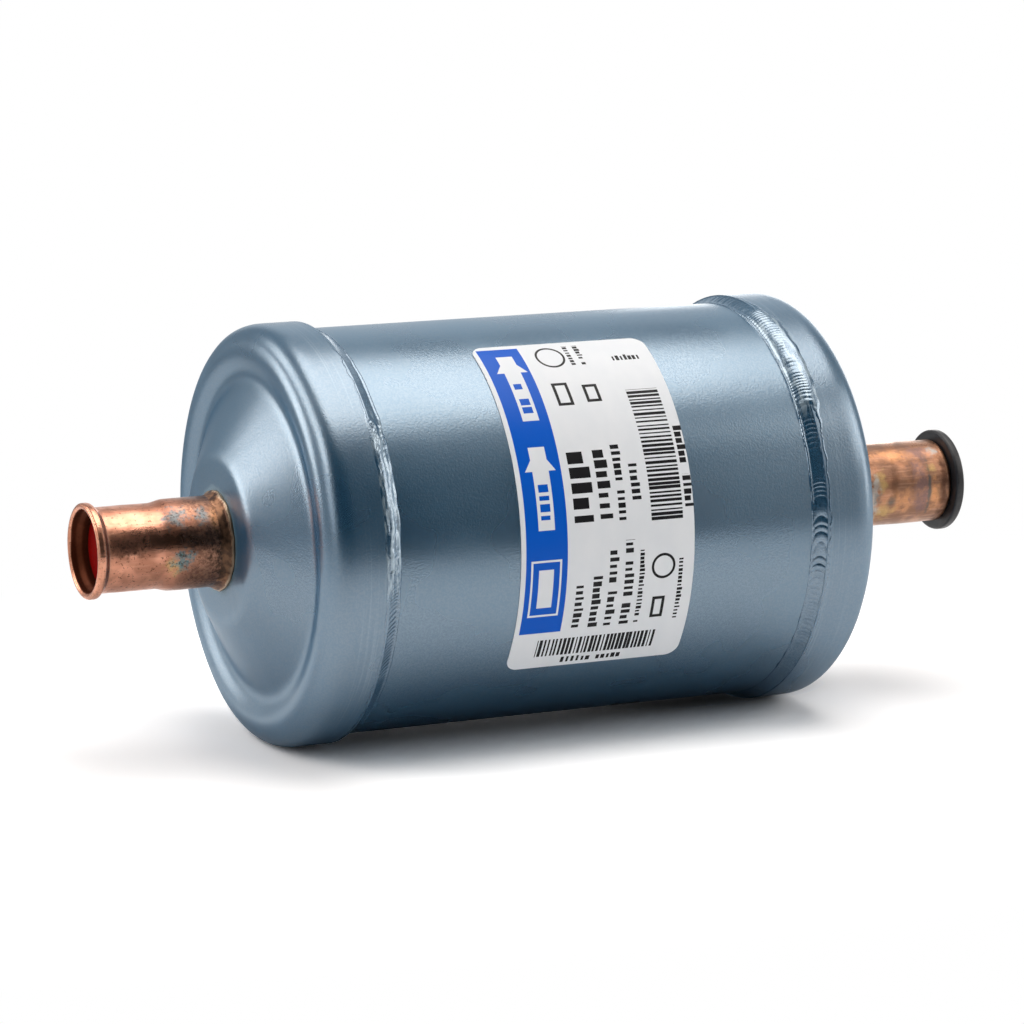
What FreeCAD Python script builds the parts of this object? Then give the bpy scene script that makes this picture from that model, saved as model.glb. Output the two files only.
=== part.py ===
import FreeCAD, Part
import math
import os

# Filter drier for a refrigerant liquid line: a welded steel shell with copper stubs,
# which holds a moulded desiccant core under a spring.
# Millimetres. The flow axis is X and the inlet is at -X. The origin is on the axis,
# midway between the two end caps, and the label faces -Y.

V = FreeCAD.Vector
ORIGIN = V(0, 0, 0)
FLOW = V(1, 0, 0)
RADIAL = V(0, 0, 1)
TURN = 360.0

# Shell tube and pressed end caps
SHELL_OD = 76.2
SHELL_WALL = 1.6
SHELL_END_GAP = 0.4
RIM_SPAN = 112.8
CAP_WALL = 1.4
CAP_SLIP = 0.05
SKIRT_LENGTH = 11.7
RIM_INNER_BEND = 3.2
RIM_SLOPE = math.radians(19.5)
VALLEY_DEPTH = 1.3
VALLEY_BEND = 2.6
BOSS_HEIGHT = 6.2
BOSS_INNER_BEND = 1.1
BOSS_MARGIN = 6.6

# Circumferential weld between the cap's skirt and the tube
WELD_WIDTH = 2.8
WELD_CROWN = 0.3

# Copper stubs, brazed into the caps
STUB_WALL = 1.0
STUB_BASE_OD = 16.94
STUB_HOLE_FIT = 0.03
STUB_INSIDE = 2.0
INLET_OD = 15.88
INLET_REACH = 32.4
INLET_STEP = 16.3
INLET_STEP_LENGTH = 3.1
LIP_OD = 17.84
LIP_THICKNESS = 1.24
LIP_LENGTH = 2.3
LIP_RISE = 1.0
OUTLET_OD = 16.3
OUTLET_REACH = 34.1
OUTLET_STEP = 8.8
OUTLET_STEP_LENGTH = 1.4
OUTLET_EDGE = 0.3
BRAZE_HEIGHT = 2.3
BRAZE_WIDTH = 0.95
BRAZE_EDGE = 0.4

# Transport plugs, pushed into the stubs
PLUG_FIT = 0.03
PLUG_WALL = 1.3
PLUG_RELIEF = 0.35
PLUG_RIB = 1.2
PLUG_RIB_COUNT = 3
INLET_PLUG_RECESS = 3.3
INLET_PLUG_LENGTH = 9.0
OUTLET_PLUG_LENGTH = 10.0
FLANGE_OD = 19.96
FLANGE_THICKNESS = 1.8
FLANGE_GAP = 0.15
FLANGE_EDGE = 0.5
FLANGE_DISH_R = 5.2
FLANGE_DISH_DEPTH = 0.5

# Label round the tube; angles are measured upwards from the side that faces -Y
LABEL_LEFT = -18.3
LABEL_WIDTH = 35.4
LABEL_LOW = -36.5
LABEL_SWEEP = 103.0
LABEL_THICKNESS = 0.12
LABEL_GLUE = 0.02
LABEL_CORNER = 2.6

# Inner stack, listed from the outlet cap towards the inlet
SEAT_GAP = 0.05
PLATE_THICKNESS = 1.0
PLATE_FIT = 0.2
PLATE_BEND = 0.8
PLATE_HOLE_D = 3.0
PLATE_PITCH = 7.2
PLATE_MARGIN = 10.8
PLATE_RIB_HEIGHT = 0.9
PLATE_RIB_WIDTH = 2.4
OUTLET_PLATE_DEPTH = 8.0
SCREEN_THICKNESS = 0.4
PAD_FIT = 0.1
FILTER_PAD_THICKNESS = 5.0
SEAL_THICKNESS = 2.0
SEAL_WIDTH = 12.0
CORE_GAP = 3.5
CORE_LENGTH = 73.2
CORE_BORE_D = 20.0
CORE_END_WALL = 18.0
CORE_CHAMFER = 1.5
INLET_PAD_THICKNESS = 4.0
INLET_PLATE_DEPTH = 5.0
SPRING_WIRE_D = 2.6
SPRING_TURNS = 3

# Shell and cap stations
SHELL_R = SHELL_OD / 2
SHELL_BORE_R = SHELL_R - SHELL_WALL
CAP_R = SHELL_R + CAP_SLIP + CAP_WALL
RIM_X = RIM_SPAN / 2
SKIRT_X = RIM_X - SKIRT_LENGTH
BOSS_X = RIM_X + BOSS_HEIGHT
RIM_BEND = RIM_INNER_BEND + CAP_WALL
BOSS_BEND = BOSS_INNER_BEND + CAP_WALL
SHELL_END_X = RIM_X - RIM_BEND - SHELL_END_GAP
STUB_BASE_R = STUB_BASE_OD / 2
HOLE_R = STUB_BASE_R + STUB_HOLE_FIT

# Inner stations: each piece seats on the one before it
CAP_SEAT_X = RIM_X - VALLEY_DEPTH - CAP_WALL
PLATE_X = CAP_SEAT_X - SEAT_GAP
SCREEN_X = PLATE_X - PLATE_THICKNESS
FILTER_PAD_X = SCREEN_X - SCREEN_THICKNESS
SEAL_X = FILTER_PAD_X - FILTER_PAD_THICKNESS
CORE_X = SEAL_X - SEAL_THICKNESS
CORE_END_X = CORE_X - CORE_LENGTH
INLET_PLATE_X = CORE_END_X - INLET_PAD_THICKNESS
SPRING_X = INLET_PLATE_X - PLATE_THICKNESS - SEAT_GAP
PLATE_R = SHELL_BORE_R - PLATE_FIT
PAD_R = PLATE_R - PLATE_THICKNESS - PLATE_BEND - PAD_FIT
CORE_R = SHELL_BORE_R - CORE_GAP


def direction(angle):
    """Unit vector in the XZ plane, turned by angle from the flow axis."""
    return V(math.cos(angle), 0, math.sin(angle))


def station(x, r):
    """A point of a turned outline: x along the flow axis, r from it."""
    return V(x, 0, r)


def line(start, end):
    return Part.makeLine(start, end)


def arc_through(start, middle, end):
    return Part.Arc(start, middle, end).toShape()


def bend(centre, radius, normal_a, normal_b):
    """Arc of a bent sheet between two surface normals; a negative radius bends it inwards."""
    middle = (normal_a + normal_b).normalize()
    return arc_through(centre + normal_a * radius, centre + middle * radius, centre + normal_b * radius)


def ogee(start, end):
    """Two equal arcs from start to end, which leave and arrive along the flow axis."""
    run = end.x - start.x
    rise = end.z - start.z
    slope = math.atan2(abs(rise), abs(run))
    radius = (run * run + rise * rise) / (4 * abs(rise))
    along = math.copysign(radius * math.sin(slope), run)
    across = math.copysign(radius * (1 - math.cos(slope)), rise)
    middle = (start + end) * 0.5
    first = arc_through(start, start + V(along, 0, across), middle)
    second = arc_through(middle, end - V(along, 0, across), end)
    return [first, second]


def turned(edges):
    """Solid of revolution about the flow axis from a closed outline."""
    wire = Part.Wire(Part.__sortEdges__(edges))
    return Part.Face(wire).revolve(ORIGIN, FLOW, TURN)


def turned_polygon(corners):
    """Solid of revolution from straight sides between corners."""
    return Part.Face(Part.makePolygon(corners + corners[:1])).revolve(ORIGIN, FLOW, TURN)


def ring(x_low, x_high, r_in, r_out):
    """Plain tube or washer on the flow axis, or a disc where r_in is zero."""
    length = x_high - x_low
    disc = Part.makeCylinder(r_out, length, V(x_low, 0, 0), FLOW)
    if r_in > 0:
        disc = disc.cut(Part.makeCylinder(r_in, length, V(x_low, 0, 0), FLOW))
    return disc


def at_inlet(shape):
    """The same piece at the other end of the drier."""
    return shape.mirror(ORIGIN, FLOW)


def cap_bends():
    """Centres of the cap's rim, valley and boss bends, with the normals of the two slopes."""
    rim = station(RIM_X - RIM_BEND, CAP_R - RIM_BEND)
    rim_normal = direction(-RIM_SLOPE)
    both = RIM_BEND + VALLEY_BEND
    run = (VALLEY_DEPTH - both * (1 - math.cos(RIM_SLOPE))) / math.sin(RIM_SLOPE)
    valley = rim + rim_normal * both + V(-math.sin(RIM_SLOPE), 0, -math.cos(RIM_SLOPE)) * run
    boss = station(BOSS_X - BOSS_BEND, STUB_BASE_R + BOSS_MARGIN)
    across = boss - valley
    cone = math.atan2(across.z, across.x) + math.acos(-(VALLEY_BEND + BOSS_BEND) / across.Length)
    return rim, valley, boss, rim_normal, direction(cone)


def cap_skin(inset):
    """Edges of one face of the cap's sheet, from the skirt's end to the stub's hole."""
    rim, valley, boss, rim_normal, cone_normal = cap_bends()
    rim_r = RIM_BEND - inset
    valley_r = VALLEY_BEND + inset
    boss_r = BOSS_BEND - inset
    start = station(SKIRT_X, CAP_R - inset)
    end = station(BOSS_X - inset, HOLE_R)
    edges = [
        line(start, rim + RADIAL * rim_r),
        bend(rim, rim_r, RADIAL, rim_normal),
        line(rim + rim_normal * rim_r, valley - rim_normal * valley_r),
        bend(valley, -valley_r, rim_normal, cone_normal),
        line(valley - cone_normal * valley_r, boss + cone_normal * boss_r),
        bend(boss, boss_r, cone_normal, FLOW),
        line(boss + FLOW * boss_r, end),
    ]
    return start, end, edges


def end_cap():
    """Pressed cap: skirt, rounded rim, valley, cone and a flat boss with the stub's hole."""
    out_start, out_end, outside = cap_skin(0.0)
    in_start, in_end, inside = cap_skin(CAP_WALL)
    return turned(outside + inside + [line(out_start, in_start), line(out_end, in_end)])


def weld_bead():
    """Fillet bead in the corner between the skirt's end and the tube."""
    root = station(SKIRT_X, SHELL_R)
    crest = station(SKIRT_X, CAP_R)
    toe = station(SKIRT_X - WELD_WIDTH, SHELL_R)
    chord = (toe - crest).normalize()
    bulge = (toe + crest) * 0.5 + V(chord.z, 0, -chord.x) * WELD_CROWN
    return turned([line(root, crest), arc_through(crest, bulge, toe), line(toe, root)])


def braze_ring():
    """Fillet of brazing metal, which flares from the stub down to the cap's boss."""
    root = station(BOSS_X, STUB_BASE_R)
    foot = station(BOSS_X, STUB_BASE_R + BRAZE_WIDTH)
    edge = station(BOSS_X + BRAZE_EDGE, STUB_BASE_R + BRAZE_WIDTH)
    tip = station(BOSS_X + BRAZE_HEIGHT, STUB_BASE_R)
    sag = (edge + tip) * 0.5 - V(BRAZE_HEIGHT, 0, BRAZE_WIDTH) * 0.08
    return turned([line(root, foot), line(foot, edge), arc_through(edge, sag, tip), line(tip, root)])


def stub_inner_x():
    """Where the stubs end inside the caps."""
    return BOSS_X - CAP_WALL - STUB_INSIDE


def stub_body(narrow_r, step, step_length, front_x):
    """Edges of both walls of a swaged stub, from its inner end to front_x."""
    low = stub_inner_x()
    step_x = RIM_X + step
    edges = [line(station(low, STUB_BASE_R), station(low, STUB_BASE_R - STUB_WALL))]
    for inset in (0.0, STUB_WALL):
        wide = STUB_BASE_R - inset
        narrow = narrow_r - inset
        edges.append(line(station(low, wide), station(step_x, wide)))
        edges += ogee(station(step_x, wide), station(step_x + step_length, narrow))
        edges.append(line(station(step_x + step_length, narrow), station(front_x, narrow)))
    return edges


def inlet_stub():
    """Copper stub with a swaged base and a mouth that is flared to a fully round lip."""
    narrow_r = INLET_OD / 2
    lip_r = LIP_OD / 2
    mouth_x = RIM_X + INLET_REACH
    lip_x = mouth_x - LIP_LENGTH
    edges = stub_body(narrow_r, INLET_STEP, INLET_STEP_LENGTH, lip_x)
    round_r = LIP_THICKNESS / 2
    top = station(mouth_x - round_r, lip_r)
    mouth = station(mouth_x - round_r, lip_r - LIP_THICKNESS)
    shoulder = station(lip_x + LIP_RISE, lip_r)
    edges += ogee(station(lip_x, narrow_r), shoulder)
    edges.append(line(shoulder, top))
    edges.append(arc_through(top, station(mouth_x, lip_r - round_r), mouth))
    edges += ogee(mouth, station(lip_x, narrow_r - STUB_WALL))
    return at_inlet(turned(edges))


def outlet_stub():
    """Copper stub with a wide base hidden in the braze and a plain, deburred end."""
    narrow_r = OUTLET_OD / 2
    bore_r = narrow_r - STUB_WALL
    end_x = RIM_X + OUTLET_REACH
    front_x = end_x - OUTLET_EDGE
    edges = stub_body(narrow_r, OUTLET_STEP, OUTLET_STEP_LENGTH, front_x)
    outer = station(end_x, narrow_r - OUTLET_EDGE)
    inner = station(end_x, bore_r + OUTLET_EDGE)
    edges.append(line(station(front_x, narrow_r), outer))
    edges.append(line(outer, inner))
    edges.append(line(inner, station(front_x, bore_r)))
    return turned(edges)


def plug_cup(face_x, length, bore_r):
    """Hollow plug with a closed outer face and sealing ribs that fit the stub's bore."""
    seal_r = bore_r - PLUG_FIT
    body_r = seal_r - PLUG_RELIEF
    cup = ring(face_x - length, face_x, 0.0, body_r)
    cup = cup.cut(ring(face_x - length, face_x - PLUG_WALL, 0.0, body_r - PLUG_WALL))
    pitch = (length - PLUG_RIB) / (PLUG_RIB_COUNT - 1)
    for number in range(PLUG_RIB_COUNT):
        rib_x = face_x - PLUG_RIB - number * pitch
        cup = cup.fuse(ring(rib_x, rib_x + PLUG_RIB, body_r - PLUG_WALL / 2, seal_r))
    return cup.removeSplitter()


def inlet_plug():
    """Red plug, pushed in until its flat face stands back from the mouth."""
    bore_r = INLET_OD / 2 - STUB_WALL
    face_x = RIM_X + INLET_REACH - INLET_PLUG_RECESS
    return at_inlet(plug_cup(face_x, INLET_PLUG_LENGTH, bore_r))


def outlet_plug():
    """Black plug with a flange that covers the end of the stub."""
    bore_r = OUTLET_OD / 2 - STUB_WALL
    low = RIM_X + OUTLET_REACH + FLANGE_GAP
    high = low + FLANGE_THICKNESS
    flange_r = FLANGE_OD / 2
    flange = ring(low, high, 0.0, flange_r)
    rims = [edge for edge in flange.Edges if abs(edge.BoundBox.XLength) < FLANGE_EDGE]
    flange = flange.makeFillet(FLANGE_EDGE, rims)
    flange = flange.cut(ring(high - FLANGE_DISH_DEPTH, high, 0.0, FLANGE_DISH_R))
    cup = plug_cup(low + FLANGE_THICKNESS / 2, OUTLET_PLUG_LENGTH + FLANGE_THICKNESS / 2, bore_r)
    return flange.fuse(cup).removeSplitter()


def label():
    """Thin rectangular label with round corners, glued round the tube."""
    low_r = SHELL_R + LABEL_GLUE
    high_r = low_r + LABEL_THICKNESS
    right = LABEL_LEFT + LABEL_WIDTH
    corners = [station(LABEL_LEFT, low_r), station(right, low_r), station(right, high_r), station(LABEL_LEFT, high_r)]
    section = Part.Face(Part.makePolygon(corners + corners[:1]))
    start = 90.0 - LABEL_LOW
    section.rotate(ORIGIN, FLOW, start - LABEL_SWEEP)
    sheet = section.revolve(ORIGIN, FLOW, LABEL_SWEEP)
    shorts = [edge for edge in sheet.Edges if edge.Length < LABEL_THICKNESS * 1.5]
    return sheet.makeFillet(LABEL_CORNER, shorts)


def plate_holes(x_low, thickness, reach):
    """Round holes on rings of equal pitch, as many as fit inside reach."""
    hole_r = PLATE_HOLE_D / 2
    holes = [Part.makeCylinder(hole_r, thickness, V(x_low, 0, 0), FLOW)]
    rings = int((reach - hole_r) / PLATE_PITCH)
    for number in range(1, rings + 1):
        count = 6 * number
        for step in range(count):
            angle = 2 * math.pi * step / count
            y = number * PLATE_PITCH * math.cos(angle)
            z = number * PLATE_PITCH * math.sin(angle)
            holes.append(Part.makeCylinder(hole_r, thickness, V(x_low, y, z), FLOW))
    return Part.Compound(holes)


def perforated_cup(depth):
    """Pressed plate with a turned rim and a raised field of holes; its seat is at x = 0."""
    inner_r = PLATE_R - PLATE_THICKNESS
    bend_out = PLATE_BEND + PLATE_THICKNESS
    rim_c = station(-bend_out, PLATE_R - bend_out)
    rib_r = PLATE_R - PLATE_MARGIN
    edges = []
    for inset in (0.0, PLATE_THICKNESS):
        radius = bend_out - inset
        floor_x = -inset
        rib_top = station(floor_x + PLATE_RIB_HEIGHT, rib_r)
        edges.append(line(station(-depth, PLATE_R - inset), rim_c + RADIAL * radius))
        edges.append(bend(rim_c, radius, RADIAL, FLOW))
        edges.append(line(rim_c + FLOW * radius, station(floor_x, rib_r + PLATE_RIB_WIDTH)))
        edges.append(line(station(floor_x, rib_r + PLATE_RIB_WIDTH), rib_top))
        edges.append(line(rib_top, station(floor_x + PLATE_RIB_HEIGHT, 0)))
    edges.append(line(station(-depth, PLATE_R), station(-depth, inner_r)))
    edges.append(line(station(PLATE_RIB_HEIGHT, 0), station(PLATE_RIB_HEIGHT - PLATE_THICKNESS, 0)))
    cup = turned(edges)
    return cup.cut(plate_holes(PLATE_RIB_HEIGHT - PLATE_THICKNESS, PLATE_THICKNESS, rib_r))


def outlet_plate():
    plate = perforated_cup(OUTLET_PLATE_DEPTH)
    plate.translate(V(PLATE_X, 0, 0))
    return plate


def inlet_plate():
    plate = at_inlet(perforated_cup(INLET_PLATE_DEPTH))
    plate.translate(V(INLET_PLATE_X - PLATE_THICKNESS, 0, 0))
    return plate


def desiccant_core():
    """Moulded block with a blind bore from its outlet end and chamfered ends."""
    inner = CORE_R - CORE_CHAMFER
    block = turned_polygon([
        station(CORE_END_X, 0),
        station(CORE_END_X, inner),
        station(CORE_END_X + CORE_CHAMFER, CORE_R),
        station(CORE_X - CORE_CHAMFER, CORE_R),
        station(CORE_X, inner),
        station(CORE_X, 0),
    ])
    bore_r = CORE_BORE_D / 2
    bottom = CORE_END_X + CORE_END_WALL
    bore = ring(bottom + bore_r, CORE_X, 0.0, bore_r)
    return block.cut(bore.fuse(Part.makeSphere(bore_r, V(bottom + bore_r, 0, 0))))


def half_ring(start, end, wire_r):
    """Half turn of round wire between opposite points of the coil, square to Y at both."""
    across = end - start
    axis = across.cross(V(0, 1, 0))
    if axis.x < 0:
        axis = axis * -1.0
    face = Part.Face(Part.Wire(Part.makeCircle(wire_r, start, V(0, 1, 0))))
    return face.revolve((start + end) * 0.5, axis, TURN / 2)


def core_spring():
    """Compression spring between the inlet cap's valley and the inlet plate, with a flat half turn at each end."""
    _, valley, _, _, _ = cap_bends()
    wire_r = SPRING_WIRE_D / 2
    low = SEAT_GAP - CAP_SEAT_X + wire_r
    high = SPRING_X - wire_r
    halves = 2 * SPRING_TURNS
    rise = (high - low) / halves
    start = station(low, valley.z)
    coil = []
    for step in [0.0] + [rise] * halves + [0.0]:
        end = station(start.x + step, -start.z)
        coil.append(half_ring(start, end, wire_r))
        start = end
    return coil[0].fuse(coil[1:]).removeSplitter()


shapes = {
    "shell_tube": ring(-SHELL_END_X, SHELL_END_X, SHELL_BORE_R, SHELL_R),
    "inlet_end_cap": at_inlet(end_cap()),
    "outlet_end_cap": end_cap(),
    "inlet_weld": at_inlet(weld_bead()),
    "outlet_weld": weld_bead(),
    "inlet_stub": inlet_stub(),
    "outlet_stub": outlet_stub(),
    "inlet_braze_ring": at_inlet(braze_ring()),
    "outlet_braze_ring": braze_ring(),
    "inlet_plug": inlet_plug(),
    "outlet_plug": outlet_plug(),
    "label": label(),
    "core_spring": core_spring(),
    "inlet_plate": inlet_plate(),
    "inlet_pad": ring(INLET_PLATE_X, CORE_END_X, 0.0, PAD_R),
    "desiccant_core": desiccant_core(),
    "core_seal": ring(CORE_X, SEAL_X, PAD_R - SEAL_WIDTH, PAD_R),
    "filter_pad": ring(SEAL_X, FILTER_PAD_X, 0.0, PAD_R),
    "wire_screen": ring(FILTER_PAD_X, SCREEN_X, 0.0, PAD_R),
    "outlet_plate": outlet_plate(),
}

os.makedirs("parts", exist_ok=True)
for name, shape in shapes.items():
    shape.exportStep("parts/" + name + ".step")
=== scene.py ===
import math
import bmesh
import bpy
import numpy as np
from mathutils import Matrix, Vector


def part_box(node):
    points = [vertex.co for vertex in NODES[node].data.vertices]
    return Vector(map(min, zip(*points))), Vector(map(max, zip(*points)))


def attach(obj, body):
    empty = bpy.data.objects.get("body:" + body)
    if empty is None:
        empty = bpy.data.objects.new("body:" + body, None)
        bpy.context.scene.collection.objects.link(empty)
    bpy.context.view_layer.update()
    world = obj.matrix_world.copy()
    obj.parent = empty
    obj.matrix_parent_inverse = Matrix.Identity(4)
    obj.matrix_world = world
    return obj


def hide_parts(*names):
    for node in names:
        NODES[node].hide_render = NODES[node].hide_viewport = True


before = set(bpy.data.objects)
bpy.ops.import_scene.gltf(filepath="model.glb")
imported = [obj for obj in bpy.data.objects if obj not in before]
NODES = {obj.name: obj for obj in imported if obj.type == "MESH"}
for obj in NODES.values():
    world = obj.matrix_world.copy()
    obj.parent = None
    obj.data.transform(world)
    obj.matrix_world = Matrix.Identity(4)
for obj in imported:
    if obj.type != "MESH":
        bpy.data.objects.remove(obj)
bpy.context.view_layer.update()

# A welded steel filter drier with copper stubs, lying in soft studio light.
# Lengths are in millimetres until a mesh is made. Angles round the drier are measured
# upwards from the side that faces -Y, where the label is.
MM = 0.001


def span(node):
    """Lowest and highest corner of a node, in millimetres."""
    low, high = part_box(node)
    return np.array(low) / MM, np.array(high) / MM


# Sizes read from the frame
SKIRT_X, BOSS_X = span("outlet_end_cap")[0][0], span("outlet_end_cap")[1][0]
CAP_R = span("outlet_end_cap")[1][2]
TUBE_END, _, TUBE_R = span("shell_tube")[1]
TOE_X = span("outlet_weld")[0][0]
BRAZE_TIP = span("outlet_braze_ring")[1][0]
BRAZE_R = span("outlet_braze_ring")[1][2]
MOUTH_X = -span("inlet_stub")[0][0]
LIP_R = span("inlet_stub")[1][2]
STUB_IN_X = span("outlet_stub")[0][0]
BASE_R = span("outlet_stub")[1][2]
OUTLET_END = span("outlet_stub")[1][0]
RED_FACE = -span("inlet_plug")[0][0]
RED_BACK = -span("inlet_plug")[1][0]
RED_R = span("inlet_plug")[1][2]
BLACK_BACK, BLACK_FACE = span("outlet_plug")[0][0], span("outlet_plug")[1][0]
FLANGE_R = span("outlet_plug")[1][2]
LABEL_LEFT, LABEL_RIGHT = span("label")[0][0], span("label")[1][0]

# Sheet and tube sizes that the boxes don't show
SHELL_WALL = 1.6
CAP_WALL = 1.4
RIM_X = BOSS_X - 6.2
RIM_BEND = 4.6
RIM_SLOPE = 19.5
VALLEY_X, VALLEY_R, VALLEY_BEND = RIM_X + 1.3, 30.04, 2.6
CONE_SLOPE = 28.8
BOSS_BEND, BOSS_BEND_R = 2.5, 15.07
BEND_BLEND = 0.9
STUB_WALL = 1.0
INLET_R = 7.94
OUTLET_R = 8.15
BASE_BORE_R, INLET_BORE_R, OUTLET_BORE_R = BASE_R - STUB_WALL, INLET_R - STUB_WALL, OUTLET_R - STUB_WALL
# How far from the drier's middle the torch browned the stubs
HEAT_REACH = 76.0
LABEL_R = 38.24
LABEL_THICK = 0.12
LABEL_LOW = -36.5
LABEL_SWEEP = 103.0
LABEL_CORNER = 2.6
LABEL_WIDE = LABEL_RIGHT - LABEL_LEFT
LABEL_TALL = math.radians(LABEL_SWEEP) * LABEL_R

ENDS = (("inlet", True), ("outlet", False))

# Steps round a turned piece, the distance in metres at which points merge, and the angle in degrees
# over which an edge stays sharp
FINE = 360
MEDIUM = 180
MERGE = 1e-7
SHARP = 40

# Shapes


def arc(x, r, radius, start, end, steps):
    """Points of an arc about (x, r), from angle start to end in degrees, measured from +X."""
    turn = np.radians(np.linspace(start, end, steps))
    return np.stack((x + radius * np.cos(turn), r + radius * np.sin(turn)), 1)


def run(x0, r0, x1, r1, steps):
    """Points of a straight line, evenly spaced."""
    share = np.linspace(0, 1, steps)[:, None]
    return (1 - share) * np.array((x0, r0)) + share * np.array((x1, r1))


def swage(x0, r0, x1, r1, steps):
    """Points of a smooth step between two tube sizes: half a cosine wave in r over a straight run in x."""
    share = np.linspace(0, 1, steps)
    rise = (1 - np.cos(np.pi * share)) / 2
    return np.stack((x0 + share * (x1 - x0), r0 + rise * (r1 - r0)), 1)


def wander(angle, seed, low, high):
    """Smooth random wave round the drier, about -1 to 1: a sum of cosines with low to high whole waves
    in a turn, each with a random size and phase."""
    draw = np.random.default_rng(seed)
    waves = np.arange(low, high + 1)
    phases = draw.uniform(0, 2 * np.pi, len(waves))
    sizes = draw.uniform(0.4, 1.0, len(waves))
    total = np.cos(angle[..., None] * waves + phases) @ sizes
    return total / np.sqrt((sizes ** 2).sum() * 2)


def placed(name, data):
    """New object in the scene."""
    item = bpy.data.objects.new(name, data)
    bpy.context.scene.collection.objects.link(item)
    return item


def surface(name, points, close_rows):
    """Mesh over a grid of points in millimetres, closed from the last column to the first.
    Doubled points, as at a pole, are merged."""
    rows, columns = points.shape[:2]
    number = np.arange(rows * columns).reshape(rows, columns)
    number = np.hstack((number, number[:, :1]))
    if close_rows:
        number = np.vstack((number, number[:1]))
    quads = np.stack((number[:-1, :-1], number[1:, :-1], number[1:, 1:], number[:-1, 1:]), -1)
    mesh = bpy.data.meshes.new(name)
    mesh.from_pydata((points.reshape(-1, 3) * MM).tolist(), [], quads.reshape(-1, 4).tolist())
    work = bmesh.new()
    work.from_mesh(mesh)
    bmesh.ops.remove_doubles(work, verts=work.verts, dist=MERGE)
    work.to_mesh(mesh)
    work.free()
    mesh.polygons.foreach_set("use_smooth", np.ones(len(mesh.polygons), bool))
    mesh.set_sharp_from_angle(angle=math.radians(SHARP))
    return placed(name, mesh)


def turned(name, outline, steps, relief=None, at_inlet=False, close=True):
    """Surface of revolution: each (x, r) of the outline goes to (x, -r cos a, r sin a) for every angle a.
    The outline runs with the solid on its right. relief(x, r, a) returns changed x and r."""
    angle = np.linspace(0, 2 * np.pi, steps, endpoint=False)
    x, a = np.meshgrid(outline[:, 0], angle, indexing="ij")
    r = np.repeat(outline[:, 1:], steps, 1)
    if relief:
        x, r = relief(x, r, a)
    if at_inlet:
        x, r, a = -x[::-1], r[::-1], a[::-1]
    points = np.stack((x, -r * np.cos(a), r * np.sin(a)), -1)
    return surface(name, points, close)


def fit(piece, body, slot, material, *nodes):
    """Gives a piece its body and its material, and hides the nodes that it stands for. Slot is not used."""
    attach(piece, body)
    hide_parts(*nodes)
    piece.data.materials.append(material)


def joined(*parts):
    """One outline from several stretches."""
    return np.vstack(parts)


# Shader building: how much of a noise's spread about a half a blend takes up
WIDE, SOFT, NARROW = (0.3, 0.7), (0.35, 0.65), (0.38, 0.62)


class Graph:
    """Short calls for the nodes of one tree."""

    def __init__(self, tree):
        self.tree = tree

    def add(self, kind, inputs=None, **settings):
        node = self.tree.nodes.new("ShaderNode" + kind)
        for key, value in settings.items():
            setattr(node, key, value)
        for key, value in (inputs or {}).items():
            self.put(node.inputs[key], value)
        return node

    def put(self, socket, value):
        if isinstance(value, bpy.types.NodeSocket):
            self.tree.links.new(value, socket)
        else:
            socket.default_value = value

    def maths(self, operation, a, b=0.0):
        return self.add("Math", {0: a, 1: b}, operation=operation).outputs[0]

    def times(self, a, b):
        return self.maths("MULTIPLY", a, b)

    def plus(self, a, b):
        return self.maths("ADD", a, b)

    def minus(self, a, b):
        return self.maths("SUBTRACT", a, b)

    def over(self, a, b):
        return self.maths("DIVIDE", a, b)

    def larger(self, a, b):
        return self.maths("MAXIMUM", a, b)

    def smaller(self, a, b):
        return self.maths("MINIMUM", a, b)

    def length(self, vector):
        return self.add("VectorMath", {0: vector}, operation="LENGTH").outputs["Value"]

    def ramp(self, value, low, high, out_low=0.0, out_high=1.0):
        """Smooth step from out_low to out_high, while value goes from low to high."""
        ends = {"Value": value, "From Min": low, "From Max": high, "To Min": out_low, "To Max": out_high}
        return self.add("MapRange", ends, interpolation_type="SMOOTHSTEP").outputs[0]

    def vary(self, noise, middle, by):
        """The middle value, moved down and up by noise."""
        return self.ramp(noise, *WIDE, middle - by, middle + by)

    def mix(self, factor, a, b):
        return self.add("Mix", {0: factor, 6: a, 7: b}, data_type="RGBA").outputs[2]

    def noise(self, vector, scale, detail=2.0, rough=0.5, distort=0.0):
        kind = {"Scale": scale, "Detail": detail, "Roughness": rough, "Distortion": distort}
        return self.add("TexNoise", {"Vector": vector, **kind}).outputs[0]

    def stretch(self, vector, x, y, z):
        """The vector with each part multiplied."""
        node = self.add("VectorMath", {0: vector, 1: (x, y, z)}, operation="MULTIPLY")
        return node.outputs[0]

    def use(self, group, *values):
        """A group, placed with its values in the order of its inputs; returns its outputs."""
        node = self.tree.nodes.new("ShaderNodeGroup")
        node.node_tree = group
        for socket, value in zip(node.inputs, values):
            self.put(socket, value)
        return node.outputs


def new_group(name, inputs, outputs=("Mask",)):
    """Empty node group of numbers, apart from an input called Place, which is a vector; returns its
    graph, a list of its inputs, and its outputs by name."""
    tree = bpy.data.node_groups.new(name, "ShaderNodeTree")
    for label in inputs:
        kind = "NodeSocketVector" if label == "Place" else "NodeSocketFloat"
        tree.interface.new_socket(name=label, in_out="INPUT", socket_type=kind)
    for label in outputs:
        tree.interface.new_socket(name=label, in_out="OUTPUT", socket_type="NodeSocketFloat")
    entry = tree.nodes.new("NodeGroupInput")
    leave = tree.nodes.new("NodeGroupOutput")
    return Graph(tree), entry.outputs[:len(inputs)], leave.inputs


def bare_graph(owner):
    """Graph of a material or of the world, with no node in it yet."""
    owner.use_nodes = True
    owner.node_tree.nodes.clear()
    return Graph(owner.node_tree)


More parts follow.
